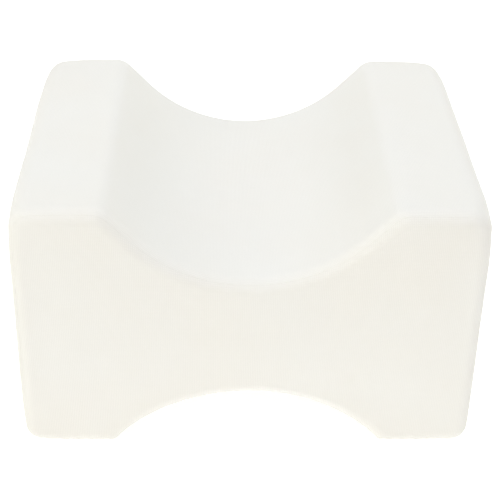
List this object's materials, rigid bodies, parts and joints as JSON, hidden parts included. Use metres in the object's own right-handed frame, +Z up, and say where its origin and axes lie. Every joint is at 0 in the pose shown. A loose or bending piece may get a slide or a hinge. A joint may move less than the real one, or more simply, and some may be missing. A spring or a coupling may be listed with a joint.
{
  "type": "knee pillow",
  "caption": "Hourglass knee spacer pillow: foam core with a leg saddle above and an arch below, in a sewn cover that zips off at the rear.",
  "frame": {"origin": "middle of the rectangle that the two feet stand in, on the surface the pillow stands on", "axes": "+X across the pillow from one foot to the other, +Y towards the zipped rear end (the legs lie along Y), +Z up"},
  "size_m": [0.2505, 0.203, 0.15],
  "materials": {
    "cover_knit": "fine smooth warm-white knit, matt, soft sheen",
    "memory_foam": "open-cell visco-elastic foam with a moulded skin",
    "liner_jersey": "thin white single jersey",
    "zip_tape": "herringbone woven polyester tape",
    "zip_coil": "nylon monofilament",
    "zip_metal": "nickel-plated zinc alloy",
    "sewing_thread": "spun polyester thread",
    "label_satin": "blank white satin ribbon"
  },
  "bodies": {
    "pillow": {"care_label": "label_satin", "cover_back_lower_panel": "cover_knit", "cover_back_upper_panel": "cover_knit", "cover_bottom_panel": "cover_knit", "cover_front_panel": "cover_knit", "cover_left_panel": "cover_knit", "cover_right_panel": "cover_knit", "cover_top_panel": "cover_knit", "foam_core": "memory_foam", "inner_liner": "liner_jersey", "zip_bar_tacks": "sewing_thread", "zip_bottom_stop": "zip_metal", "zip_coil_lower": "zip_coil", "zip_coil_upper": "zip_coil", "zip_tape_lower": "zip_tape", "zip_tape_upper": "zip_tape", "zip_top_stops": "zip_metal", "zip_topstitch_lower": "sewing_thread", "zip_topstitch_upper": "sewing_thread"},
    "zip_slider": {"zip_slider_body": "zip_metal"},
    "zip_pull": {"zip_pull_tab": "zip_metal"}
  },
  "joints": [
    {"name": "zip_slider_travel", "type": "slide", "parent": "pillow", "child": "zip_slider", "axis": [-1, 0, 0], "range_m": [0, 0.186], "deforming": ["zip_coil_upper", "zip_coil_lower"]},
    {"name": "zip_pull_swing", "type": "hinge", "parent": "zip_slider", "child": "zip_pull", "pos_m": [0.093, 0.1016, 0.07], "axis": [0, 0, -1], "range_deg": [0, 180]}
  ]
}
